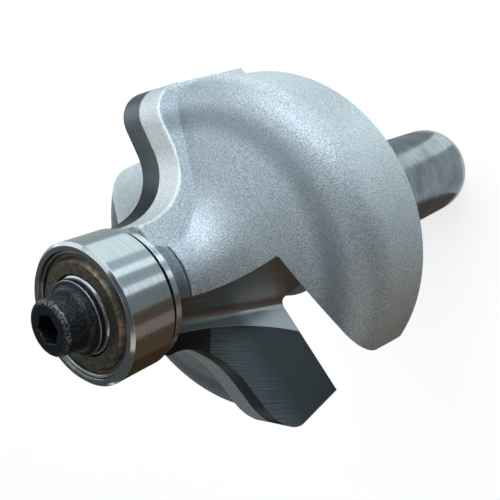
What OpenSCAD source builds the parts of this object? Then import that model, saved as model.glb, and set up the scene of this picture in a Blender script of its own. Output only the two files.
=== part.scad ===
// Router bit with two brazed cutters and a ball bearing pilot.
// It stands on the end of its shank: the axis is Z and the bearing is on top.
// Cutter A is at +X. The bit turns counter-clockwise seen from above.

/* [Shank] */
// Diameter of the shank
shank_d = 12.7; // [8:0.1:20]
// Length of the shank, from its end to the back of the head
shank_length = 40.7; // [25:0.1:80]
// Chamfer at the end of the shank
shank_chamfer = 0.8; // [0.2:0.1:2]
// Fillet where the shank meets the head
shank_root = 0.9; // [0.2:0.1:1.5]

/* [Head] */
// Length of the head, from its back to the shoulder under the bearing
head_length = 21.7; // [18:0.1:30]
// Diameter across the cutting edges
cutting_d = 37.8; // [31:0.1:50]
// How far the rim of the body stands inside the cutting diameter
rim_clearance = 1.05; // [0.4:0.05:2.5]
// Chamfer at the back of the rim
rim_chamfer = 0.1; // [0.05:0.05:1]
// Diameter of the turned nose under the shoulder
nose_d = 10; // [9:0.1:12]
// Length of the turned nose
nose_length = 2.9; // [1:0.1:4]
// Radius of the hollow of the body
body_cove_r = 7.5; // [6:0.1:9]
// How far the hollow of the body starts outside the nose
body_cove_step = 0.1; // [0:0.05:0.5]
// Depth of the centre of the body's hollow under the shoulder
body_cove_depth = 1.9; // [0.5:0.1:3]
// Radius of the round shoulder of the body
body_bead_r = 4.2; // [2:0.1:6]
// Slope of the body between its hollow and its round shoulder
body_slope = 25; // [10:1:40]

/* [Cutting edge] */
// Radius of the cove that the edge cuts
cove_r = 7.1; // [6:0.1:9]
// Depth of the centre of that cove under the shoulder
cove_depth = 1.05; // [0.4:0.05:2]
// Radius of the bead that the edge cuts
bead_r = 4.3; // [2:0.1:6]
// Slope of the edge between the cove and the bead
edge_slope = 8.5; // [0:0.5:20]
// Lean of the rake face against the axis
shear_angle = 11.3; // [0:0.1:15]
// Place of the rake face at the shoulder, ahead of the axis
rake_offset = -0.35; // [-1:0.05:1]
// Relief behind the edge towards the axis, seen in the rake face
side_relief = 27; // [16:1:30]
// Relief behind the edge towards the back of the head
end_relief = 19.5; // [10:0.5:25]

/* [Cutters] */
// Thickness of each cutter
cutter_t = 1.8; // [1:0.1:3]
// Width of the raised land, cutter included
land_w = 3.9; // [3:0.1:5]
// Gap between the shoulder and the top of the cutters
cutter_top_gap = 0.3; // [0.1:0.05:0.6]
// Radius of the disc that mills the seat of the cutters
seat_disc_r = 63.5; // [40:0.5:100]
// Nearest distance of that disc to the axis
seat_reach = 4.4; // [4.2:0.1:5]
// Height of the disc's centre over the shoulder
seat_disc_h = 5.2; // [0:0.1:10]

/* [Gullets] */
// Width of each gullet
gullet_w = 11.1; // [8:0.1:13]
// Distance of the gullet floor from the axis at the shoulder
gullet_core = 2.95; // [2.8:0.05:3.5]
// How far the gullet floor clears the shank at the back of the head
gullet_lift = 0.05; // [0:0.05:1]
// Corner radius along the gullet floor, next to the cutter
gullet_corner = 0.9; // [0.3:0.1:2]
// Radius of the far corner along the gullet floor, away from the cutter
gullet_far_corner = 0.2; // [0.1:0.05:0.3]

/* [Bearing] */
// Outer diameter of the bearing
bearing_d = 12.7; // [12:0.05:13.5]
// Bore of the bearing
bearing_bore = 4.76; // [4.5:0.02:5]
// Width of the bearing
bearing_w = 4.98; // [4.6:0.02:6]
// Diameter of each ball
ball_d = 2.38; // [2:0.01:2.4]
// Number of balls
ball_count = 7; // [5:1:7]
// Radial play between a ball and each raceway
ball_play = 0.04; // [0.02:0.01:0.06]
// Depth of each raceway
race_depth = 0.36; // [0.2:0.02:0.5]
// Edge chamfer of the outer ring
ring_chamfer = 0.28; // [0.1:0.02:0.4]
// Thickness of the sheet of the cage
cage_t = 0.18; // [0.1:0.01:0.22]
// Width of the cage ring
cage_w = 0.9; // [0.6:0.05:1]
// Thickness of the sheet of the shields
shield_t = 0.16; // [0.1:0.01:0.2]
// Gap between each shield and the inner ring
shield_gap = 0.13; // [0.05:0.01:0.2]
// Diameter of the snap wires
wire_d = 0.3; // [0.2:0.01:0.34]
// Opening between the ends of a snap wire, in degrees
wire_opening = 14; // [5:1:40]

/* [Washer and stud] */
// Diameter of the dust washer
washer_d = 12.1; // [10:0.1:12.2]
// Thickness of the dust washer
washer_t = 0.6; // [0.3:0.05:1]
// Height of the washer's hub, which keeps it off the outer ring
washer_hub = 0.3; // [0.15:0.05:0.6]
// Play between the stud and the bearing, and between the stud and the washer
stud_play = 0.015; // [0.01:0.005:0.03]
// How far the stud stays under the face of the bearing
stud_short = 0.35; // [0.1:0.05:1]

/* [Pilot screw] */
// Diameter of the thread
screw_d = 3.175; // [2.5:0.025:3.3]
// Length under the head
screw_length = 7.94; // [5:0.01:12]
// Diameter of the head at its face
head_d = 4.9; // [4:0.1:6]
// Height of the head
head_h = 3.22; // [2.5:0.05:5]
// Diameter of the flange of the head
flange_d = 6.6; // [6:0.1:6.8]
// Thickness of the flange of the head
flange_t = 0.57; // [0.3:0.01:1]
// Radius of the flare over the flange
flare_r = 0.75; // [0.3:0.05:0.8]
// Round on the edge of the head
head_round = 0.42; // [0.1:0.02:0.6]
// Size of the socket across its flats
key_af = 2.38; // [1.5:0.02:2.6]
// Depth of the socket
key_depth = 1.7; // [1:0.1:2.2]
// Play between the thread and its hole
thread_play = 0.03; // [0.01:0.01:0.1]
// Depth of the hole under the end of the screw
hole_spare = 1.2; // [0.5:0.1:4]

/* [Hidden] */
$fn = 96;

// Heights over the end of the shank
head_back = shank_length;
shoulder = head_back + head_length;
nose_base = shoulder - nose_length;
cutter_top = shoulder - cutter_top_gap;
bearing_base = shoulder + washer_t + washer_hub;
bearing_mid = bearing_base + bearing_w / 2;
bearing_top = bearing_base + bearing_w;
stud_top = bearing_top - stud_short;

// Radii
shank_r = shank_d / 2;
pilot_r = bearing_d / 2;
cutting_r = cutting_d / 2;
rim_r = cutting_r - rim_clearance;
nose_r = nose_d / 2;
bore_r = bearing_bore / 2;
stud_r = bore_r - stud_play;
ball_r = ball_d / 2;
race_r = ball_r + ball_play;
pitch_r = (bore_r + pilot_r) / 2;
inner_land_r = pitch_r - race_r + race_depth;
outer_land_r = pitch_r + race_r - race_depth;
hole_r = screw_d / 2 + thread_play;
cage_r = ball_r + ball_play / 2;

// Recess of the outer ring that holds a shield and its wire
recess_r = outer_land_r + 0.4;
recess_depth = 0.72;
wire_fit = 0.03;
shield_rise = recess_depth - shield_t - 0.08;
shield_rim_w = 0.6;
shield_cone_w = 0.35;

// Length past a solid that a cut runs, so that it leaves no skin
over = 1;
far = cutting_r * 2;
// How far a straight runs inside an arc that it joins, so that the two cross
blend = 0.01;

// Place of the rake face of cutter A at a height
function rake_y(z) = rake_offset - tan(shear_angle) * (shoulder - z);
// Distance along the leaning rake face at a height, from the shoulder down
function along(z) = (z - shoulder) / cos(shear_angle);
// Reach in the rake face of a circle round the axis
function reach(r, z) = sqrt(r * r - rake_y(z) * rake_y(z));

// Height of the bead's centre in an outline of a cove, a straight slope and a bead
function bead_height(cove_x, cove_z, cove_r, bead_x, bead_r, slope) =
    cove_z - (cove_r + bead_r - (cove_x - bead_x) * sin(slope)) / cos(slope);

// Half outline of a cove under a bead, joined by a straight slope.
// The cove's centre is at [cove_x, cove_z], and the bead ends at the radius out_x.
// The wall from the bead down to low_z may lean in to the radius low_x.
module ogee(cove_x, cove_z, cove_r, bead_r, slope, out_x, low_x, low_z, top_z) {
    bead_x = out_x + blend - bead_r;
    bead_z = bead_height(cove_x, cove_z, cove_r, bead_x, bead_r, slope);
    across = [sin(slope), cos(slope)];
    leave = [cove_x, cove_z] - (cove_r - blend) * across;
    meet = [bead_x, bead_z] + (bead_r - blend) * across;
    wall_x = cove_x - cove_r + blend;
    difference() {
        union() {
            polygon([
                [0, low_z], [low_x, low_z], [out_x, bead_z], [bead_x, bead_z], meet, leave,
                [cove_x, cove_z], [wall_x, cove_z], [wall_x, top_z], [0, top_z]]);
            translate([bead_x, bead_z]) circle(bead_r);
        }
        translate([cove_x, cove_z]) circle(cove_r);
    }
}

// Half outline of the head as it is turned
module head_outline() {
    cove_x = nose_r + body_cove_step + body_cove_r;
    difference() {
        ogee(cove_x, shoulder - body_cove_depth, body_cove_r, body_bead_r, body_slope,
            rim_r, rim_r, head_back, nose_base);
        translate([rim_r, head_back]) rotate(45)
            square(rim_chamfer * sqrt(2), center = true);
    }
    translate([0, head_back]) square([nose_r, head_length]);
}

// Half outline of the shank with its chamfer and the fillet at its root.
// It ends where the gullet's floor still clears it.
module shank_outline() {
    shank_top = head_back + 0.2;
    polygon([
        [0, 0], [shank_r - shank_chamfer, 0], [shank_r, shank_chamfer],
        [shank_r, shank_top], [0, shank_top]]);
    difference() {
        translate([shank_r, head_back - shank_root]) square(shank_root);
        translate([shank_r + shank_root, head_back - shank_root]) circle(shank_root);
    }
}

// Moves its children into the leaning frame of cutter A: the rake face is Y = 0
module rake_frame() {
    translate([0, rake_offset, shoulder]) rotate([-shear_angle, 0, 0]) children();
}

// Outline of the cutting edge in the rake face
module edge_outline() {
    cove_x = pilot_r + cove_r;
    cove_z = shoulder - cove_depth;
    bead_z = bead_height(cove_x, cove_z, cove_r, cutting_r - bead_r, bead_r, edge_slope);
    ogee(cove_x, along(cove_z), cove_r, bead_r, edge_slope,
        reach(cutting_r, bead_z), reach(cutting_r, head_back),
        along(head_back) - over, along(cutter_top));
}

// What stands behind the rake face: the edge's outline, drawn back with its relief
module relieved_edge(width) {
    relief = [[1, tan(side_relief), 0, 0], [0, 1, 0, 0], [0, tan(end_relief), 1, 0]];
    intersection() {
        rake_frame() multmatrix(relief) rotate([90, 0, 0]) linear_extrude(width) edge_outline();
        translate([0, -far, head_back]) cube([far, far * 2, cutter_top - head_back]);
    }
}

// Space that the seat of cutter A takes: a slice of a large disc
module seat_space(ahead) {
    rake_frame() translate([seat_reach + seat_disc_r, ahead, seat_disc_h])
        rotate([90, 0, 0]) cylinder(r = seat_disc_r, h = cutter_t + ahead, $fn = 360);
}

// Space that the end mill takes in front of cutter A
module gullet_space() {
    floor_back = shank_r + gullet_lift;
    rise = atan((floor_back - gullet_core) / (head_length / cos(shear_angle)));
    rake_frame() translate([gullet_core, 0, 0]) rotate([0, -rise, 0])
        translate([0, 0, -far]) linear_extrude(far * 2) {
            translate([gullet_corner, 0]) square([far, gullet_w]);
            translate([0, gullet_corner])
                square([2 * gullet_corner, gullet_w - gullet_corner - gullet_far_corner]);
            translate([gullet_far_corner, gullet_w / 2])
                square([gullet_corner, gullet_w / 2]);
            translate([gullet_corner, gullet_corner]) circle(gullet_corner);
            translate([gullet_far_corner, gullet_w - gullet_far_corner])
                circle(gullet_far_corner, $fn = 24);
        }
}

// Repeats its children on the other side of the bit
module both_sides() {
    children();
    rotate([0, 0, 180]) children();
}

// Shank and head: one turned and milled piece of steel, with the tapped stud
module body() {
    color("#b9c0c4") difference() {
        union() {
            difference() {
                union() {
                    rotate_extrude() head_outline();
                    both_sides() relieved_edge(land_w);
                }
                both_sides() gullet_space();
                both_sides() seat_space(over);
            }
            rotate_extrude() shank_outline();
            translate([0, 0, shoulder - over]) cylinder(r = stud_r, h = stud_top - shoulder + over);
        }
        translate([0, 0, bearing_top - screw_length - hole_spare])
            cylinder(r = hole_r, h = screw_length + hole_spare + over);
    }
}

// Cutter: a ground blade of hard metal, brazed into its seat
module cutter() {
    color("#3b4145") intersection() {
        relieved_edge(cutter_t);
        seat_space(0);
    }
}

// Thin washer between the shoulder and the bearing, with a hub for the inner ring
module dust_washer() {
    color("#aeb4b6") difference() {
        union() {
            translate([0, 0, shoulder]) cylinder(r = washer_d / 2, h = washer_t);
            translate([0, 0, shoulder]) cylinder(r = inner_land_r, h = washer_t + washer_hub);
        }
        translate([0, 0, shoulder - over]) cylinder(r = bore_r, h = bearing_w);
    }
}

// Half section of a ring between two radii, with chamfers on its four edges
module ring_section(inner, outer, chamfer) {
    polygon([
        [inner + chamfer, bearing_base], [outer - chamfer, bearing_base],
        [outer, bearing_base + chamfer], [outer, bearing_top - chamfer],
        [outer - chamfer, bearing_top], [inner + chamfer, bearing_top],
        [inner, bearing_top - chamfer], [inner, bearing_base + chamfer]]);
}

// Inner ring with its raceway
module inner_ring() {
    color("#c9cdd0") rotate_extrude() difference() {
        ring_section(bore_r, inner_land_r, 0.12);
        translate([pitch_r, bearing_mid]) circle(race_r);
    }
}

// Outer ring with its raceway and the recesses for the shields
module outer_ring() {
    color("#c9cdd0") rotate_extrude() difference() {
        ring_section(outer_land_r - ring_chamfer, pilot_r, ring_chamfer);
        translate([0, bearing_base - over]) square([outer_land_r, bearing_w + 2 * over]);
        translate([pitch_r, bearing_mid]) circle(race_r);
        translate([0, bearing_base - over]) square([recess_r, recess_depth + over]);
        translate([0, bearing_top - recess_depth]) square([recess_r, recess_depth + over]);
    }
}

// Repeats its children at the place of ball i
module at_ball(i) {
    rotate([0, 0, 360 * (i - 1) / ball_count]) translate([pitch_r, 0, bearing_mid]) children();
}

// Ball i
module ball(i) {
    color("#d8dcde") at_ball(i) sphere(ball_r);
}

// Lower half of the pressed cage: a flat ring with a cup for each ball
module cage_half() {
    inner = pitch_r - cage_w / 2;
    color("#a8977a") difference() {
        intersection() {
            union() {
                translate([0, 0, bearing_mid - cage_t])
                    cylinder(r = inner + cage_w, h = cage_t);
                for (i = [1:ball_count]) at_ball(i) sphere(cage_r + cage_t, $fn = 36);
            }
            translate([0, 0, bearing_base]) cylinder(r = inner + cage_w, h = bearing_w / 2);
        }
        translate([0, 0, bearing_base]) cylinder(r = inner, h = bearing_w);
        for (i = [1:ball_count]) at_ball(i) sphere(cage_r, $fn = 36);
    }
}

// Upper shield: a dished sheet in the recess of the outer ring
module shield_upper() {
    floor_z = bearing_top - recess_depth;
    rim_in = recess_r - shield_rim_w;
    plate_out = rim_in - shield_cone_w;
    plate_in = inner_land_r + shield_gap;
    color("#8f8577") rotate_extrude() polygon([
        [recess_r - wire_fit, floor_z], [recess_r - wire_fit, floor_z + shield_t],
        [rim_in, floor_z + shield_t], [plate_out, floor_z + shield_rise + shield_t],
        [plate_in, floor_z + shield_rise + shield_t], [plate_in, floor_z + shield_rise],
        [plate_out - shield_t / 2, floor_z + shield_rise], [rim_in - shield_t / 2, floor_z]]);
}

// Upper snap wire: an open ring that holds the shield
module snap_wire_upper() {
    color("#b4b8ba") rotate([0, 0, 90]) rotate_extrude(angle = 360 - wire_opening)
        translate([recess_r - wire_fit - wire_d / 2,
            bearing_top - recess_depth + shield_t + (wire_fit + wire_d) / 2])
            circle(wire_d / 2, $fn = 32);
}

// Turns its children over round the middle of the bearing
module turned_over() {
    translate([0, 0, 2 * bearing_mid]) rotate([180, 0, 0]) children();
}

// Flanged screw with a hexagonal socket
module pilot_screw() {
    neck_r = flange_d / 2 - flare_r;
    face_r = head_d / 2;
    neck_z = flange_t + flare_r;
    color("#26282b") translate([0, 0, bearing_top]) difference() {
        rotate_extrude() {
            difference() {
                union() {
                    polygon([
                        [0, 0], [flange_d / 2, 0], [flange_d / 2, flange_t],
                        [neck_r, neck_z], [face_r, head_h - head_round],
                        [face_r - head_round, head_h], [0, head_h]]);
                    translate([neck_r, flange_t]) square([flare_r, flare_r]);
                    translate([face_r - head_round, head_h - head_round]) circle(head_round);
                }
                translate([neck_r + flare_r, flange_t + flare_r]) circle(flare_r);
                translate([neck_r + flare_r, flange_t]) square([over, over]);
            }
            polygon([
                [0, -screw_length], [screw_d / 2 - 0.4, -screw_length],
                [screw_d / 2, 0.4 - screw_length], [screw_d / 2, 0.1], [0, 0.1]]);
        }
        translate([0, 0, head_h - key_depth])
            cylinder(d = key_af / cos(30), h = key_depth + over, $fn = 6);
        translate([0, 0, head_h - key_depth - key_af / 4])
            cylinder(r1 = 0.1, r2 = key_af / 2, h = key_af / 4 + 0.01);
    }
}

body();
cutter();  // cutter_a
rotate([0, 0, 180]) cutter();  // cutter_b
dust_washer();
inner_ring();
outer_ring();
for (i = [1:ball_count]) ball(i);
cage_half();  // cage_lower
turned_over() cage_half();  // cage_upper
turned_over() shield_upper();  // shield_lower
shield_upper();
turned_over() snap_wire_upper();  // snap_wire_lower
snap_wire_upper();
pilot_screw();
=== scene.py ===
# %% [markdown]
# # The looks of a router bit
#
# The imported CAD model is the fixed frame: twenty solids in metres, standing on the end of the
# shank. Blender adds what CAD leaves out, which is light, a camera and the finish of each metal.
# The finishes are the lesson here, because a tool like this is one colour of steel made in six
# ways: blasted, milled, turned, ground, pressed and blackened.

import math

import bpy
from mathutils import Matrix, Vector


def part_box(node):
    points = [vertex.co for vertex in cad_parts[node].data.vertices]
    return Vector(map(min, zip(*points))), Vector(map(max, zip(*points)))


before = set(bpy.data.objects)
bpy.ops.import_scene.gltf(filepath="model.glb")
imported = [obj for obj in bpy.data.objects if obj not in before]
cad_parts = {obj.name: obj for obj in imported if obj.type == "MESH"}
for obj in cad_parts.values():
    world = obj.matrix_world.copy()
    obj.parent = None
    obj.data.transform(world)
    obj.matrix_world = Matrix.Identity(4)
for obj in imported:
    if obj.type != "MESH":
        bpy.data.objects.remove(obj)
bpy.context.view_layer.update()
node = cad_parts

# %% [markdown]
# ## The camera
#
# The picture was taken with a short lens from close by, so the near bearing looks large and the
# far shank small. Only the true distance gives that. The place was solved from the round
# outlines of the bit, and it is written here as a place, a point to aim at and a roll. Lengths
# are in metres, except where a name or a title says millimetres.

# %% The camera
MM = 0.001
LENS_MM = 50
SENSOR_MM = 36
CAMERA_PLACE = Vector((11.17, 48.40, 101.08)) * MM
CAMERA_AIM = Vector((0.51, -0.11, 45.58)) * MM
CAMERA_ROLL = math.radians(-113.27)

camera = bpy.data.objects.new("camera", bpy.data.cameras.new("camera"))
camera.data.lens = LENS_MM
camera.data.sensor_width = SENSOR_MM
camera.data.clip_start = 1 * MM
camera.data.clip_end = 10
aimed = (CAMERA_AIM - CAMERA_PLACE).to_track_quat("-Z", "Y").to_matrix()
rolled = aimed @ Matrix.Rotation(CAMERA_ROLL, 3, "Z")
camera.matrix_world = Matrix.Translation(CAMERA_PLACE) @ rolled.to_4x4()
bpy.context.scene.collection.objects.link(camera)
bpy.context.scene.camera = camera
print("camera", [round(x / MM, 1) for x in CAMERA_PLACE], "mm")

# %% [markdown]
# ## Three helpers
#
# A material is a small graph. One function adds a node with its settings and the values or
# sockets that feed it, and gives back the output that the next node reads. Colours are written
# as the hex values that a screen shows, and one function turns them into the linear values that
# light adds up in.

# %% Colours
def linear(hex_colour):
    """The linear colour of an sRGB hex value."""
    def channel(text):
        value = int(text, 16) / 255
        return value / 12.92 if value <= 0.04045 else ((value + 0.055) / 1.055) ** 2.4
    return tuple(channel(hex_colour[i:i + 2]) for i in (1, 3, 5)) + (1,)


print("half grey #808080 is", round(linear("#808080")[0], 3), "in linear light")

# %% Nodes and materials
def add(tree, kind, inputs, output=0, **settings):
    """Adds a node, feeds its inputs with values or sockets, and returns one of its outputs."""
    made = tree.nodes.new("ShaderNode" + kind)
    for name, value in settings.items():
        setattr(made, name, value)
    for name, value in inputs.items():
        if isinstance(value, bpy.types.NodeSocket):
            tree.links.new(value, made.inputs[name])
        else:
            made.inputs[name].default_value = value
    return made.outputs[output]


def new_material(name):
    """An empty material, its tree and its surface socket."""
    material = bpy.data.materials.new(name)
    material.use_nodes = True
    tree = material.node_tree
    tree.nodes.clear()
    surface = tree.nodes.new("ShaderNodeOutputMaterial").inputs["Surface"]
    print("material", name)
    return material, tree, surface


# %% [markdown]
# ## Floor, room and light
#
# Steel has hardly a colour of its own: it shows what stands round it. So the light is planned
# from what each face of the bit should see. The ridges look at the horizon, where a long low
# softbox stands on the far side. The flats look up at a weaker one and at a light overhead. The
# upright walls look down at the table, so plain cards lie there in a ring: brown ones on the
# near side, and grey and pale ones in turn on the far side. Only reflections see the cards. The
# floor is white because its own colour is, helped by a glow that grows far from the bit, and it
# keeps the shadow. The room is white to the camera only. To the bit it is a tenth of that, in
# light and in reflections, so that the dark bands on the steel stay dark between bright ones.

# %% Floor
FLOOR_SIZE = 6
FLOOR_GLOW = 0.66
GLOW_GROWS_FROM = 0.2
GLOW_FULL_AT = 0.5


def sheet(name, corners, faces):
    """A flat sheet that belongs to the studio and not to the bit."""
    mesh = bpy.data.meshes.new(name)
    mesh.from_pydata(corners, [], faces)
    placed = bpy.data.objects.new(name, mesh)
    bpy.context.scene.collection.objects.link(placed)
    return placed


half = FLOOR_SIZE / 2
floor = sheet("floor",
    [(-half, -half, 0), (half, -half, 0), (half, half, 0), (-half, half, 0)], [(0, 1, 2, 3)])
material, tree, surface = new_material("white_paper")
camera_ray = add(tree, "LightPath", {}, "Is Camera Ray")
mirror_ray = add(tree, "LightPath", {}, "Is Glossy Ray")
clear_ray = add(tree, "LightPath", {}, "Is Transmission Ray")
seen = add(tree, "Math", {0: mirror_ray, 1: clear_ray}, operation="MAXIMUM")
mirrored = add(tree, "Math", {0: seen, 1: FLOOR_GLOW}, operation="MULTIPLY")
place = add(tree, "TexCoord", {}, "Object")
distance = add(tree, "VectorMath", {0: place}, "Value", operation="LENGTH")
paper_glow = add(tree, "MapRange", {
    0: distance, 1: GLOW_GROWS_FROM, 2: GLOW_FULL_AT, 3: FLOOR_GLOW, 4: 1.0})
glow = add(tree, "Mix", {0: camera_ray, 2: mirrored, 3: paper_glow}, data_type="FLOAT")
paper = add(tree, "BsdfDiffuse", {"Color": linear("#f2f2f2")})
light = add(tree, "Emission", {"Color": (1, 1, 1, 1), "Strength": glow})
tree.links.new(add(tree, "AddShader", {0: paper, 1: light}), surface)
floor.data.materials.append(material)

# %% Room
ROOM_LEVEL = 0.10

world = bpy.data.worlds.new("dim_room")
bpy.context.scene.world = world
world.use_nodes = True
tree = world.node_tree
camera_ray = add(tree, "LightPath", {}, "Is Camera Ray")
level = add(tree, "Mix", {0: camera_ray, 2: ROOM_LEVEL, 3: 1.0}, data_type="FLOAT")
shade = add(tree, "Mix", {0: camera_ray, 6: linear("#e4edf3"), 7: (1, 1, 1, 1)}, 2,
    data_type="RGBA")
background = tree.nodes["Background"]
tree.links.new(shade, background.inputs["Color"])
tree.links.new(level, background.inputs["Strength"])
bpy.context.scene.view_settings.view_transform = "Standard"
print("room at", ROOM_LEVEL, "of white, and white behind the bit")

# %% Lamps
OBJECT_MIDDLE = Vector((0, 0, 45)) * MM
LAMP_DISTANCE = 0.60
LAMP_WIDTH = 0.44
LAMP_HEIGHT = 0.34


def softbox(name, azimuth_deg, rise_deg, watts, colour, width=LAMP_WIDTH):
    """A soft area light that looks at the middle of the bit from a direction in degrees."""
    lamp = bpy.data.lights.new(name, "AREA")
    lamp.shape = "RECTANGLE"
    lamp.size = width
    lamp.size_y = LAMP_HEIGHT
    lamp.energy = watts
    lamp.color = linear(colour)[:3]
    turn = math.radians(azimuth_deg)
    rise = math.radians(rise_deg)
    out = Vector((math.cos(turn) * math.cos(rise), math.sin(turn) * math.cos(rise), math.sin(rise)))
    facing = (-out).to_track_quat("-Z", "Y").to_matrix().to_4x4()
    placed = bpy.data.objects.new(name, lamp)
    placed.matrix_world = Matrix.Translation(OBJECT_MIDDLE + out * LAMP_DISTANCE) @ facing
    placed.visible_camera = False
    bpy.context.scene.collection.objects.link(placed)
    print(name, round(watts / (math.pi * width * LAMP_HEIGHT), 2), "W/m2/sr")


softbox("low_window", 126, 14, 1.9, "#f3faff", width=0.70)
softbox("high_window", 158, 45, 0.46, "#eef8ff")
softbox("top_light", 115, 78, 0.38, "#f6faff")
softbox("left_window", 200, 14, 0.52, "#f6fbff")
softbox("back_window", -140, 45, 0.22, "#f4f8fb")
softbox("warm_fill", 15, 28, 0.30, "#ffecd8")

# %% [markdown]
# A card is a slice of a flat ring on the table, from one direction to another. It glows with its
# own colour, so what a mirror sees there doesn't depend on the lamps. The inner ring, close to
# the foot, is what the upright shank and the gullets see.

# %% Cards on the table
CARD_STEPS = 16
CARD_LIFT = 1 * MM
FOOT = 0.0066
RING = 0.045
FAR = 0.60


def table_card(name, start_deg, end_deg, inner, outer, colour, strength=1.0):
    """A card between two directions and two distances from the bit, for reflections only."""
    span = end_deg - start_deg
    turns = [math.radians(start_deg + span * i / CARD_STEPS) for i in range(CARD_STEPS + 1)]
    corners = [(r * math.cos(a), r * math.sin(a), CARD_LIFT) for a in turns for r in (inner, outer)]
    faces = [(2 * i, 2 * i + 1, 2 * i + 3, 2 * i + 2) for i in range(CARD_STEPS)]
    card = sheet(name, corners, faces)
    material, tree, surface = new_material(name)
    shine = add(tree, "Emission", {"Color": linear(colour), "Strength": strength})
    tree.links.new(shine, surface)
    card.data.materials.append(material)
    card.visible_camera = False
    card.visible_diffuse = False
    card.visible_shadow = False


table_card("near_dark_card", -92, -30, RING, FAR, "#3a2e22")
table_card("near_brown_card", -30, 10, RING, FAR, "#504235")
table_card("warm_grey_card", 10, 30, RING, FAR, "#7c756e")
table_card("right_brown_card", 30, 50, RING, FAR, "#564a3f")
table_card("right_grey_card", 50, 78, RING, FAR, "#737d81")
table_card("first_pale_strip", 78, 90, RING, FAR, "#e9f9ff", 1.05)
table_card("first_grey_strip", 90, 108, RING, FAR, "#98a9b1")
table_card("second_pale_strip", 108, 120, RING, FAR, "#e8f9ff", 1.3)
table_card("second_grey_strip", 120, 136, RING, FAR, "#b2c5cf")
table_card("far_pale_card", 136, 184, RING, FAR, "#eafaff", 1.1)
table_card("left_grey_card", 184, 212, RING, FAR, "#a0aeb6")
table_card("left_warm_card", 212, 240, RING, FAR, "#aeb0aa")
table_card("back_brown_card", 240, 268, RING, FAR, "#927a60")
table_card("foot_brown_card", -64, 22, FOOT, RING, "#5c544c")
table_card("foot_grey_card", 22, 97, FOOT, RING, "#b4c0c6")
table_card("foot_pale_strip", 97, 128, FOOT, RING, "#edfaff", 1.25)
table_card("foot_side_card", 128, 208, FOOT, RING, "#9ca7ab")
table_card("foot_left_strip", 208, 224, FOOT, RING, "#c4ced5")
table_card("foot_back_card", 224, 262, FOOT, RING, "#f0fbff", 1.5)

# %% [markdown]
# ## The steel body
#
# Shank, head and nose are one bar of tool steel, but a maker finishes each zone in another way.
# The head is blasted with fine beads, the gullets are milled, the nose is turned and the shank
# is ground. Six materials on six patches would need cuts in the mesh. One material can hold all
# of them: it works out from the place on the bar which tool went over it. The places come from
# the frame where the frame has them, and the lean of the gullets is the maker's own number.

# %% Sizes of the body in millimetres
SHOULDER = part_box("dust_washer")[0].z / MM
HEAD_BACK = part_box("cutter_a")[0].z / MM
NOSE_LENGTH = 2.9
NOSE_R = 5.0
RIM_R = 17.85
HOLLOW_R = 14.3
RAKE_OFFSET = -0.35
SHEAR = math.radians(11.3)
LAND_W = 3.9
GULLET_W = 11.1
GULLET_CORE = 2.95
GULLET_BACK = 6.4
GULLET_RISE = math.atan((GULLET_BACK - GULLET_CORE) * math.cos(SHEAR) / (SHOULDER - HEAD_BACK))
SLOPE = math.radians(25)
SLOPE_R = 9.43
SLOPE_Z = SHOULDER - 8.70
SKIN = 0.03
THIN_SKIN = 0.01
print("shoulder", round(SHOULDER, 2), "mm, back of the head", round(HEAD_BACK, 2), "mm")

# %% [markdown]
# Three functions find a place. The first gives it in millimetres and the second as a distance
# from the axis. The third turns cutter B's half onto cutter A's, and then looks along the lean
# of the rake face, where out, behind and along are straight directions. From there it also
# looks along the gullet's floor, which rises towards the back. A fourth function, between, then
# marks where a value lies between two numbers.

# %% Places on a piece
def place_in_mm(tree):
    """The place on a piece, in millimetres."""
    place = add(tree, "TexCoord", {}, "Object")
    return add(tree, "VectorMath", {0: place, 1: (1 / MM,) * 3}, operation="MULTIPLY")


def from_axis(tree, place):
    """The distance of a place from the axis of the bit."""
    flat = add(tree, "VectorMath", {0: place, 1: (1, 1, 0)}, operation="MULTIPLY")
    return add(tree, "VectorMath", {0: flat}, "Value", operation="LENGTH")


def leaning_places(tree, place):
    """The place in the leaning frame of a rake face, and in the frame of a gullet's floor."""
    x, y, z = add(tree, "SeparateXYZ", {0: place}).node.outputs
    side = add(tree, "Math", {0: x}, operation="SIGN")
    x_a = add(tree, "Math", {0: x}, operation="ABSOLUTE")
    y_a = add(tree, "Math", {0: y, 1: side}, operation="MULTIPLY")
    as_a = add(tree, "CombineXYZ", {0: x_a, 1: y_a, 2: z})
    leaning = add(tree, "Mapping", {
        "Vector": as_a, "Location": (0, RAKE_OFFSET, SHOULDER), "Rotation": (-SHEAR, 0, 0)},
        vector_type="TEXTURE")
    milled = add(tree, "Mapping", {
        "Vector": leaning, "Location": (GULLET_CORE, 0, 0), "Rotation": (0, -GULLET_RISE, 0)},
        vector_type="TEXTURE")
    return leaning, milled


def between(tree, value, low, high):
    """1 where a value lies between two numbers."""
    above = add(tree, "Math", {0: value, 1: low}, operation="GREATER_THAN")
    below = add(tree, "Math", {0: value, 1: high}, operation="LESS_THAN")
    return add(tree, "Math", {0: above, 1: below}, operation="MULTIPLY")


# %% [markdown]
# Each zone gets a mask, which is 1 where its tool went and 0 elsewhere. A face that lies right
# at the limit of a mask would flicker, so the limits stand a few hundredths of a millimetre off
# it. The rim is the worn last half millimetre of the head's largest radius.

# %% The body's material and its places
body_steel, tree, surface = new_material("blasted_tool_steel")
place = place_in_mm(tree)
leaning, milled = leaning_places(tree, place)
z = add(tree, "SeparateXYZ", {0: place}).node.outputs["Z"]
radius = from_axis(tree, place)
out, behind, along = add(tree, "SeparateXYZ", {0: leaning}).node.outputs
over_floor, across, _ = add(tree, "SeparateXYZ", {0: milled}).node.outputs

# %% The shank, the rim and the nose
RIM_BAND = (0.5, 0.05)
NOSE_FADE = 1.2

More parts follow.
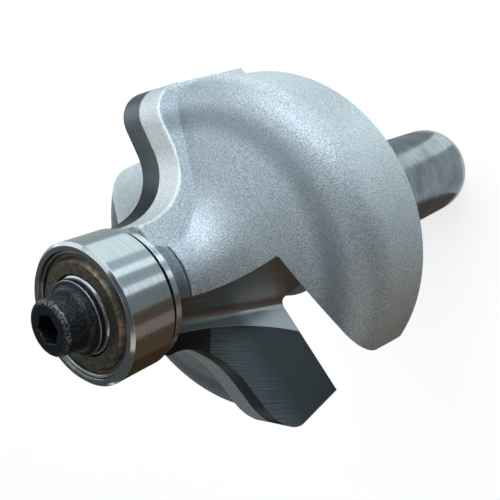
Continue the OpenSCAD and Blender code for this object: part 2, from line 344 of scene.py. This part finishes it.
shank = add(tree, "Math", {0: z, 1: HEAD_BACK - THIN_SKIN}, operation="LESS_THAN")
head = between(tree, z, HEAD_BACK + THIN_SKIN, SHOULDER - THIN_SKIN)
rim = add(tree, "MapRange", {0: radius, 1: RIM_R - RIM_BAND[0], 2: RIM_R - RIM_BAND[1]})
thin = add(tree, "Math", {0: radius, 1: NOSE_R + SKIN}, operation="LESS_THAN")
nose_end = SHOULDER - NOSE_LENGTH
high = add(tree, "MapRange", {0: z, 1: nose_end, 2: nose_end + NOSE_FADE})
nose = add(tree, "Math", {0: thin, 1: high}, operation="MULTIPLY")
print("nose from", round(nose_end, 2), "mm up")

# %% The gullets
CORNER_START = 0.12
CORNER_END = 1.1
CORNER_HEIGHT = 1.0
FAR_WALL_SKIN = 0.1

in_slot = between(tree, across, -SKIN, GULLET_W + SKIN)
off_floor = add(tree, "Math", {0: over_floor, 1: -SKIN}, operation="GREATER_THAN")
gullet = add(tree, "Math", {0: in_slot, 1: off_floor}, operation="MULTIPLY")
gullet = add(tree, "Math", {0: gullet, 1: head}, operation="MULTIPLY")
near_wall = add(tree, "Math", {0: across, 1: CORNER_START}, operation="LESS_THAN")
far_wall = add(tree, "Math", {0: across, 1: GULLET_W - FAR_WALL_SKIN}, operation="GREATER_THAN")
corner = between(tree, across, CORNER_START, CORNER_END)
low = add(tree, "Math", {0: over_floor, 1: CORNER_HEIGHT}, operation="LESS_THAN")
corner = add(tree, "Math", {0: corner, 1: low}, operation="MULTIPLY")
print("gullets", GULLET_W, "mm wide, floor rises", round(math.degrees(GULLET_RISE), 1), "degrees")

# %% The lands
LIP_RISE = (0.85, 1.10)

climb_out = add(tree, "Math", {0: radius, 1: SLOPE_R}, operation="SUBTRACT")
climb_out = add(tree, "Math", {0: climb_out, 1: math.sin(SLOPE)}, operation="MULTIPLY")
climb_up = add(tree, "Math", {0: z, 1: SLOPE_Z}, operation="SUBTRACT")
climb_up = add(tree, "Math", {0: climb_up, 1: math.cos(SLOPE)}, operation="MULTIPLY")
climb = add(tree, "Math", {0: climb_out, 1: climb_up}, operation="ADD")
lip = add(tree, "MapRange", {0: climb, 1: LIP_RISE[0], 2: LIP_RISE[1]})
land = between(tree, behind, -LAND_W - SKIN, -SKIN)
wide = add(tree, "Math", {0: out, 1: NOSE_R - 1}, operation="GREATER_THAN")
for limit in (wide, lip, head):
    land = add(tree, "Math", {0: land, 1: limit}, operation="MULTIPLY")
print("lands", LAND_W, "mm wide, leaning", round(math.degrees(SHEAR), 1), "degrees")

# %% [markdown]
# Real edges are never quite sharp. The Bevel node rounds the shading near them and leaves the
# mesh alone. The wall behind a land is softest where it stands highest, and there its crest gets
# the land's pale colour as a painted highlight: the crest is where the rounded direction and the
# true one differ.

# %% Soft edges and the crest of the wall behind a land
EDGE_MM = 0.12
WALL_FOOT_MM = 0.02
WALL_CREST_MM = 0.5
WALL_REACH = 0.5
CREST_ALIKE = (0.995, 0.97)

at_wall = between(tree, behind, -LAND_W - WALL_REACH, -LAND_W + WALL_REACH)
wall_soft = add(tree, "Mix", {0: lip, 2: WALL_FOOT_MM * MM, 3: WALL_CREST_MM * MM},
    data_type="FLOAT")
soft = add(tree, "Mix", {0: at_wall, 2: EDGE_MM * MM, 3: wall_soft}, data_type="FLOAT")
edges = add(tree, "Bevel", {"Radius": soft}, samples=8)
facing = add(tree, "NewGeometry", {}, "Normal")
alike = add(tree, "VectorMath", {0: edges, 1: facing}, "Value", operation="DOT_PRODUCT")
# Painted highlight: the crest of the wall takes the land's pale colour.
crest = add(tree, "MapRange", {0: alike, 1: CREST_ALIKE[0], 2: CREST_ALIKE[1]})
on_wall = between(tree, behind, -LAND_W - SKIN, -LAND_W + SKIN)
crest_highlight_share = add(tree, "Mix", {0: on_wall, 2: 1.0, 3: crest}, data_type="FLOAT")
land = add(tree, "Math", {0: crest_highlight_share, 1: land}, operation="MULTIPLY")
print("edges", EDGE_MM, "mm, crest", WALL_CREST_MM, "mm")

# %% [markdown]
# Bead blasting leaves overlapping dents about a tenth of a millimetre wide. Each throws the
# light its own way, so the steel looks like frost with a fine bright grain in it. The grain is
# drawn at 0.13 mm, about one pixel of the picture, because anything finer wouldn't show. Noise
# lies mostly between 0.3 and 0.7, so a Map Range stretches that middle part to the full range.
# The land behind each cutter was ground after the blasting and is paler, and so is the worn
# rim; the land's near-white is partly a painted highlight. The hollow is darker: painted shade.

# %% Frosted steel, rim and land
GRAIN_MM = 0.13
CLOUD_MM = 3.0
CLOUD_SHARE = 0.3
HOLLOW_SHADE_BAND = (0.2, 1.6)
HOLLOW_SHADE_SHARE = 0.5

grain = add(tree, "TexNoise", {
    "Vector": place, "Scale": 1 / GRAIN_MM, "Detail": 1.0, "Roughness": 0.6})
grain_share = add(tree, "MapRange", {0: grain, 1: 0.36, 2: 0.64})
cloud = add(tree, "TexNoise", {"Vector": place, "Scale": 1 / CLOUD_MM, "Detail": 2.0})
cloud_share = add(tree, "MapRange", {0: cloud, 1: 0.3, 2: 0.7, 3: 0.0, 4: CLOUD_SHARE})
frosted = add(tree, "Mix", {0: grain_share, 6: linear("#a5b1b9"), 7: linear("#e1eaef")}, 2,
    data_type="RGBA")
frosted = add(tree, "Mix", {0: cloud_share, 6: frosted, 7: linear("#bcc8d0")}, 2,
    data_type="RGBA")
# Painted shade: the steel is darker in a band round the hollow's radius.
off_hollow = add(tree, "Math", {0: radius, 1: HOLLOW_R}, operation="SUBTRACT")
off_hollow = add(tree, "Math", {0: off_hollow}, operation="ABSOLUTE")
painted_hollow_shade = add(tree, "MapRange", {
    0: off_hollow, 1: HOLLOW_SHADE_BAND[0], 2: HOLLOW_SHADE_BAND[1], 3: HOLLOW_SHADE_SHARE, 4: 0.0},
    interpolation_type="SMOOTHSTEP")
frosted = add(tree, "Mix", {0: painted_hollow_shade, 6: frosted, 7: linear("#77838c")}, 2, data_type="RGBA")
worn_rim = add(tree, "Mix", {0: grain_share, 6: linear("#c2cdd3"), 7: linear("#fbfeff")}, 2,
    data_type="RGBA")
frosted = add(tree, "Mix", {0: rim, 6: frosted, 7: worn_rim}, 2, data_type="RGBA")
# Ground steel, paler than the blasted; its near-white is partly a painted highlight.
pale_ground_and_painted_light = add(tree, "Mix", {0: grain_share, 6: linear("#d8e4e6"), 7: linear("#ffffff")}, 2,
    data_type="RGBA")
colour = add(tree, "Mix", {0: land, 6: frosted, 7: pale_ground_and_painted_light}, 2, data_type="RGBA")
print("grain", GRAIN_MM, "mm, clouds", CLOUD_MM, "mm")

# %% [markdown]
# An end mill leaves the gullet's floor smooth and a little oily, with long lines along its
# path: here they lie half a millimetre apart and run on for eight. It can't reach the corner
# under the rake face, which stays rough. The wall under the cutter is brighter at its back end,
# where the grinding wheel that trued it came in.

# %% Milled gullets
MILL_PER_MM = (2.0, 2.0, 0.12)
WHEEL_CAME_IN = (-15.0, -12.5)

mill_place = add(tree, "VectorMath", {0: milled, 1: MILL_PER_MM}, operation="MULTIPLY")
mill_lines = add(tree, "TexNoise", {"Vector": mill_place, "Scale": 1.0, "Detail": 2.0})
mill_share = add(tree, "MapRange", {0: mill_lines, 1: 0.35, 2: 0.65})
gullet_tone = add(tree, "Mix", {0: mill_share, 6: linear("#a9a6a1"), 7: linear("#bbb9b4")}, 2,
    data_type="RGBA")
wheel_run = add(tree, "MapRange", {0: along, 1: WHEEL_CAME_IN[0], 2: WHEEL_CAME_IN[1]})
wall_tone = add(tree, "Mix", {0: wheel_run, 6: linear("#dfe7ec"), 7: linear("#98a0a5")}, 2,
    data_type="RGBA")
# The far wall takes the lands' pale colour: painted light, brighter than the lamps leave it.
for share, tone in ((near_wall, wall_tone), (far_wall, pale_ground_and_painted_light), (corner, linear("#a7a09f"))):
    gullet_tone = add(tree, "Mix", {0: share, 6: gullet_tone, 7: tone}, 2, data_type="RGBA")
colour = add(tree, "Mix", {0: gullet, 6: colour, 7: gullet_tone}, 2, data_type="RGBA")
print("milling lines", round(1 / MILL_PER_MM[0], 2), "mm apart")

# %% [markdown]
# The turned nose is dull, with a bright ragged band next to the washer, which is a painted
# highlight. The shank is ground between centres, which leaves hair lines round it. Real ones are
# too fine to show, so they are drawn 0.09 mm apart and about 3 mm long, with broad clouds from
# handling over them.

# %% Turned nose and ground shank
MOTTLE_MM = 0.8
RAGGED_MM = (-0.5, 0.3)
GLINT_BAND = (0.9, 0.7)
HAIR_PER_MM = (0.36, 0.36, 10.8)

mottle = add(tree, "TexNoise", {"Vector": place, "Scale": 1 / MOTTLE_MM, "Detail": 3.0})
ragged = add(tree, "MapRange", {0: mottle, 1: 0.35, 2: 0.65, 3: RAGGED_MM[0], 4: RAGGED_MM[1]})
ragged = add(tree, "Math", {0: z, 1: ragged}, operation="ADD")
# Painted highlight: a bright ragged band on the nose next to the washer.
painted_glint = add(tree, "MapRange", {
    0: ragged, 1: SHOULDER - GLINT_BAND[0], 2: SHOULDER - GLINT_BAND[1]})
nose_tone = add(tree, "Mix", {0: grain_share, 6: linear("#757e83"), 7: linear("#a3acb1")}, 2,
    data_type="RGBA")
nose_tone = add(tree, "Mix", {0: painted_glint, 6: nose_tone, 7: linear("#eef3f5")}, 2,
    data_type="RGBA")
colour = add(tree, "Mix", {0: nose, 6: colour, 7: nose_tone}, 2, data_type="RGBA")

hair_place = add(tree, "VectorMath", {0: place, 1: HAIR_PER_MM}, operation="MULTIPLY")
hair_lines = add(tree, "TexNoise", {"Vector": hair_place, "Scale": 1.0, "Detail": 4.0})
hair_share = add(tree, "Mix", {0: 0.5, 2: hair_lines, 3: cloud}, data_type="FLOAT")
hair_share = add(tree, "MapRange", {0: hair_share, 1: 0.36, 2: 0.64})
shank_tone = add(tree, "Mix", {0: hair_share, 6: linear("#787f82"), 7: linear("#b0b7ba")}, 2,
    data_type="RGBA")
colour = add(tree, "Mix", {0: shank, 6: colour, 7: shank_tone}, 2, data_type="RGBA")
print("hair lines", round(1 / HAIR_PER_MM[2], 3), "mm apart")

# %% [markdown]
# Last come the roughness and the small relief of each zone. Blasted steel scatters most, so its
# highlights are broad, and the far wall of a gullet is a little duller still. The ground shank
# scatters least and shows the cards as soft bands.

# %% The body's surface
ROUGH_BLASTED = 0.50
ROUGH_MILLED = 0.38
ROUGH_FAR_WALL = 0.55
ROUGH_TURNED = 0.42
ROUGH_GROUND = 0.27
DENT_MM = 0.04
LINE_SHARE = 0.12

rough = ROUGH_BLASTED
for share, value in ((gullet, ROUGH_MILLED), (far_wall, ROUGH_FAR_WALL), (nose, ROUGH_TURNED),
        (shank, ROUGH_GROUND)):
    rough = add(tree, "Mix", {0: share, 2: rough, 3: value}, data_type="FLOAT")
hair_height = add(tree, "Math", {0: hair_lines, 1: LINE_SHARE}, operation="MULTIPLY")
mill_height = add(tree, "Math", {0: mill_lines, 1: LINE_SHARE}, operation="MULTIPLY")
height = grain
for share, relief in ((gullet, mill_height), (corner, grain), (far_wall, grain),
        (shank, hair_height)):
    height = add(tree, "Mix", {0: share, 2: height, 3: relief}, data_type="FLOAT")
dents = add(tree, "Bump", {
    "Strength": 1.0, "Distance": DENT_MM * MM, "Height": height, "Normal": edges})
steel = add(tree, "BsdfPrincipled", {
    "Base Color": colour, "Metallic": 1.0, "Roughness": rough, "Normal": dents})
tree.links.new(steel, surface)


def finish_node(name, material):
    """Gives a CAD node its material."""
    for held in node[name].material_slots:
        held.material = material
    print(name, "->", material.name)


finish_node("body", body_steel)

# %% [markdown]
# ## The cutters
#
# The cutters are cemented carbide: grains of tungsten carbide in a little cobalt, nearly as hard
# as diamond. A diamond wheel grinds them, and it leaves long fine scratches on a dark blue-grey
# metal. They run about 20 degrees across the length of the face. Real ones are too fine to
# show, so they are drawn 0.09 mm apart and 12 mm long, and fade out towards the shank. The
# end of the rake face under the bearing is nearly black. The relieved edge gets paler away from
# the bearing.

# %% The wheel's scratches
WHEEL_LEAN = math.radians(20)
SCRATCH_PER_MM = (11.2, 11.2, 0.08)
FADE_OUT = (-14.0, -9.0)

carbide, tree, surface = new_material("ground_carbide")
leaning, _ = leaning_places(tree, place_in_mm(tree))
out, behind, along = add(tree, "SeparateXYZ", {0: leaning}).node.outputs
wheel_path = add(tree, "Mapping", {"Vector": leaning, "Rotation": (0, -WHEEL_LEAN, 0)},
    vector_type="TEXTURE")
wheel_path = add(tree, "VectorMath", {0: wheel_path, 1: SCRATCH_PER_MM}, operation="MULTIPLY")
scratches = add(tree, "TexNoise", {
    "Vector": wheel_path, "Scale": 1.0, "Detail": 5.0, "Roughness": 0.7})
strong = add(tree, "MapRange", {0: along, 1: FADE_OUT[0], 2: FADE_OUT[1]})
share = add(tree, "MapRange", {0: scratches, 1: 0.42, 2: 0.70})
share = add(tree, "Math", {0: share, 1: strong}, operation="MULTIPLY")
tone = add(tree, "Mix", {0: share, 6: linear("#484f53"), 7: linear("#929ca0")}, 2,
    data_type="RGBA")
print("scratches", round(1 / SCRATCH_PER_MM[0], 3), "mm apart")

# %% The dark end under the bearing, and the relieved edge
DARK_END_REACH = -13.55
EDGE_PALER = (-6.2, -8.8)

on_rake = add(tree, "Math", {0: behind, 1: -SKIN}, operation="GREATER_THAN")
# The end of the rake face under the bearing is made nearly black.
reach = add(tree, "Math", {0: along, 1: out}, operation="SUBTRACT")
dark_end = add(tree, "Math", {0: reach, 1: DARK_END_REACH}, operation="GREATER_THAN")
dark_end = add(tree, "Math", {0: dark_end, 1: on_rake}, operation="MULTIPLY")
tone = add(tree, "Mix", {0: dark_end, 6: tone, 7: linear("#3a3734")}, 2, data_type="RGBA")
outward = add(tree, "MapRange", {0: along, 1: EDGE_PALER[0], 2: EDGE_PALER[1]})
edge_tone = add(tree, "Mix", {0: outward, 6: linear("#303538"), 7: linear("#6c7478")}, 2,
    data_type="RGBA")
tone = add(tree, "Mix", {0: on_rake, 6: edge_tone, 7: tone}, 2, data_type="RGBA")
print("the edge gets paler between", EDGE_PALER, "mm from the shoulder")

# %% Carbide
CARBIDE_EDGE_MM = 0.05
SCRATCH_DEPTH_MM = 0.01
CARBIDE_ROUGH = (0.30, 0.38)

rough = add(tree, "MapRange", {
    0: scratches, 1: 0.3, 2: 0.7, 3: CARBIDE_ROUGH[0], 4: CARBIDE_ROUGH[1]})
edges = add(tree, "Bevel", {"Radius": CARBIDE_EDGE_MM * MM}, samples=6)
lines = add(tree, "Bump", {
    "Strength": 0.2, "Distance": SCRATCH_DEPTH_MM * MM, "Height": scratches, "Normal": edges})
metal = add(tree, "BsdfPrincipled", {
    "Base Color": tone, "Metallic": 1.0, "Roughness": rough, "Normal": lines})
tree.links.new(metal, surface)
finish_node("cutter_a", carbide)
finish_node("cutter_b", carbide)

# %% [markdown]
# ## The bearing
#
# Each of its parts has lines round the axis, from turning, grinding or pressing, so one function
# makes all their materials from a few numbers. The lines come from noise that is read only by
# the distance from the axis and the height, with a slow drift round the ring, because a perfect
# circle looks drawn. They are drawn coarser than the real ones, which wouldn't show. Blots of
# half a millimetre are the stains of handling and oil.

# %% Metal with lines round the axis
DRIFT_PER_MM = (0.02, 0.02, 0.0)
BLOTS_PER_MM = 2.2
LINE_DEPTH_MM = 0.01


def turned_metal(name, dark, light, rough, lines_per_mm, blot_share, bump, edge_mm):
    """A metal with fine lines round the axis, left by turning, grinding or pressing."""
    material, tree, surface = new_material(name)
    place = place_in_mm(tree)
    z = add(tree, "SeparateXYZ", {0: place}).node.outputs["Z"]
    rings = add(tree, "CombineXYZ", {0: from_axis(tree, place), 1: z, 2: 0.0})
    drift = add(tree, "VectorMath", {0: place, 1: DRIFT_PER_MM}, operation="MULTIPLY")
    rings = add(tree, "VectorMath", {0: rings, 1: drift}, operation="ADD")
    lines = add(tree, "TexNoise", {"Vector": rings, "Scale": lines_per_mm, "Detail": 4.0})
    blots = add(tree, "TexNoise", {"Vector": place, "Scale": BLOTS_PER_MM, "Detail": 4.0})
    share = add(tree, "Mix", {0: blot_share, 2: lines, 3: blots}, data_type="FLOAT")
    share = add(tree, "MapRange", {0: share, 1: 0.38, 2: 0.62})
    tone = add(tree, "Mix", {0: share, 6: linear(dark), 7: linear(light)}, 2, data_type="RGBA")
    roughness = add(tree, "MapRange", {0: share, 3: rough[1], 4: rough[0]})
    edges = add(tree, "Bevel", {"Radius": edge_mm * MM}, samples=6)
    cut = add(tree, "Bump", {
        "Strength": bump, "Distance": LINE_DEPTH_MM * MM, "Height": lines, "Normal": edges})
    steel = add(tree, "BsdfPrincipled", {
        "Base Color": tone, "Metallic": 1.0, "Roughness": roughness, "Normal": cut})
    tree.links.new(steel, surface)
    return material


# %% [markdown]
# Rings and balls are hardened chrome steel. The outside of the ring is ground between wheels
# while it turns, so it shows the room as bright and dark bands along the axis, and the balls are
# polished almost to mirrors. Cage and shields are thin pressed sheet: the cage is plain, and the
# shields wear an oily brown film. The open wires that hold them are bright drawn spring steel.
# The dust washer is turned bright, and catches the light as a thin line.

# %% The bearing's finishes
ring_steel = turned_metal("ground_chrome_steel", "#c6cacc", "#d8dcde",
    rough=(0.12, 0.17), lines_per_mm=12.0, blot_share=0.2, bump=0.10, edge_mm=0.06)
ball_steel = turned_metal("polished_chrome_steel", "#c4c7c9", "#d9dcdd",
    rough=(0.08, 0.12), lines_per_mm=3.0, blot_share=0.2, bump=0.05, edge_mm=0.02)
cage_sheet = turned_metal("pressed_steel_sheet", "#8d8577", "#aaa294",
    rough=(0.35, 0.45), lines_per_mm=8.0, blot_share=0.5, bump=0.2, edge_mm=0.03)
shield_sheet = turned_metal("oiled_steel_sheet", "#6b6358", "#978e80",
    rough=(0.42, 0.55), lines_per_mm=9.0, blot_share=0.8, bump=0.3, edge_mm=0.04)
spring_wire = turned_metal("drawn_spring_wire", "#9a9c9c", "#c2c4c4",
    rough=(0.22, 0.32), lines_per_mm=6.0, blot_share=0.3, bump=0.2, edge_mm=0.02)
bright_washer = turned_metal("bright_turned_steel", "#d2d7d9", "#eef1f2",
    rough=(0.14, 0.24), lines_per_mm=14.0, blot_share=0.4, bump=0.3, edge_mm=0.05)

finishes = {"inner_ring": ring_steel, "outer_ring": ring_steel, "ball_": ball_steel,
    "cage_": cage_sheet, "shield_": shield_sheet, "snap_wire_": spring_wire,
    "dust_washer": bright_washer}
for start, material in finishes.items():
    for name in node:
        if name.startswith(start):
            finish_node(name, material)

# %% [markdown]
# ## The screw
#
# The screw is alloy steel with black oxide, a bath that turns the skin black and leaves it
# slightly oily. It wears through to bright steel where a key or a finger rubs. That is on the
# edges, found with the Bevel node again, and on the round of its face, where the bright steel is
# also a painted highlight. Specks of a few tenths of a millimetre break the wear up. The edges
# inside the socket stay black. Metallic is a little under 1, because the oxide itself isn't a
# metal.

# %% Where the oxide is worn, with painted highlights
SOCKET_R = 1.9
SCREW_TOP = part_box("pilot_screw")[1].z / MM
ROUND_MM = 0.42
RUB_MM = 0.3
SPECKS_PER_MM = 6.0
SCREW_EDGE_MM = 0.20
EDGE_ALIKE = (0.995, 0.90)
EDGE_WEAR_AND_HIGHLIGHT = 0.55
FACE_WEAR_AND_HIGHLIGHT = 0.13
WEAR_AND_HIGHLIGHT_BAND = (0.60, 0.84)

oxide, tree, surface = new_material("worn_and_highlit_black_oxide")
place = place_in_mm(tree)
z = add(tree, "SeparateXYZ", {0: place}).node.outputs["Z"]
radius = from_axis(tree, place)
edges = add(tree, "Bevel", {"Radius": SCREW_EDGE_MM * MM}, samples=8)
facing = add(tree, "NewGeometry", {}, "Normal")
alike = add(tree, "VectorMath", {0: edges, 1: facing}, "Value", operation="DOT_PRODUCT")
outside = add(tree, "Math", {0: radius, 1: SOCKET_R}, operation="GREATER_THAN")
# Worn edges, brightened further as a painted highlight.
edge = add(tree, "MapRange", {
    0: alike, 1: EDGE_ALIKE[0], 2: EDGE_ALIKE[1], 3: 0.0, 4: EDGE_WEAR_AND_HIGHLIGHT})
edge = add(tree, "Math", {0: edge, 1: outside}, operation="MULTIPLY")
# Wear on the round of the face, partly a painted highlight on the top.
face = add(tree, "Math", {0: z, 1: SCREW_TOP - ROUND_MM}, operation="GREATER_THAN")
face_wear_and_highlight = add(tree, "MapRange", {
    0: radius, 1: SOCKET_R, 2: SOCKET_R + RUB_MM, 3: 0.0, 4: FACE_WEAR_AND_HIGHLIGHT})
face_wear_and_highlight = add(tree, "Math", {0: face_wear_and_highlight, 1: face}, operation="MULTIPLY")
edge = add(tree, "Math", {0: edge, 1: face_wear_and_highlight}, operation="MAXIMUM")
speck = add(tree, "TexNoise", {
    "Vector": place, "Scale": SPECKS_PER_MM, "Detail": 4.0, "Roughness": 0.75})
wear_and_highlight = add(tree, "Math", {0: edge, 1: speck}, operation="ADD")
wear_and_highlight = add(tree, "MapRange", {0: wear_and_highlight, 1: WEAR_AND_HIGHLIGHT_BAND[0], 2: WEAR_AND_HIGHLIGHT_BAND[1]})
print("top of the screw", round(SCREW_TOP, 2), "mm up")

# %% Black oxide
PIT_MM = 0.02
OXIDE_METALLIC = 0.8
OXIDE_ROUGH = 0.38

skin_share = add(tree, "MapRange", {0: speck, 1: 0.4, 2: 0.65})
skin = add(tree, "Mix", {0: skin_share, 6: linear("#1c1f23"), 7: linear("#4a5056")}, 2,
    data_type="RGBA")
tone = add(tree, "Mix", {0: wear_and_highlight, 6: skin, 7: linear("#aab1b6")}, 2, data_type="RGBA")
pits = add(tree, "Bump", {
    "Strength": 0.5, "Distance": PIT_MM * MM, "Height": speck, "Normal": edges})
steel = add(tree, "BsdfPrincipled", {
    "Base Color": tone, "Metallic": OXIDE_METALLIC, "Roughness": OXIDE_ROUGH, "Normal": pits})
tree.links.new(steel, surface)
finish_node("pilot_screw", oxide)
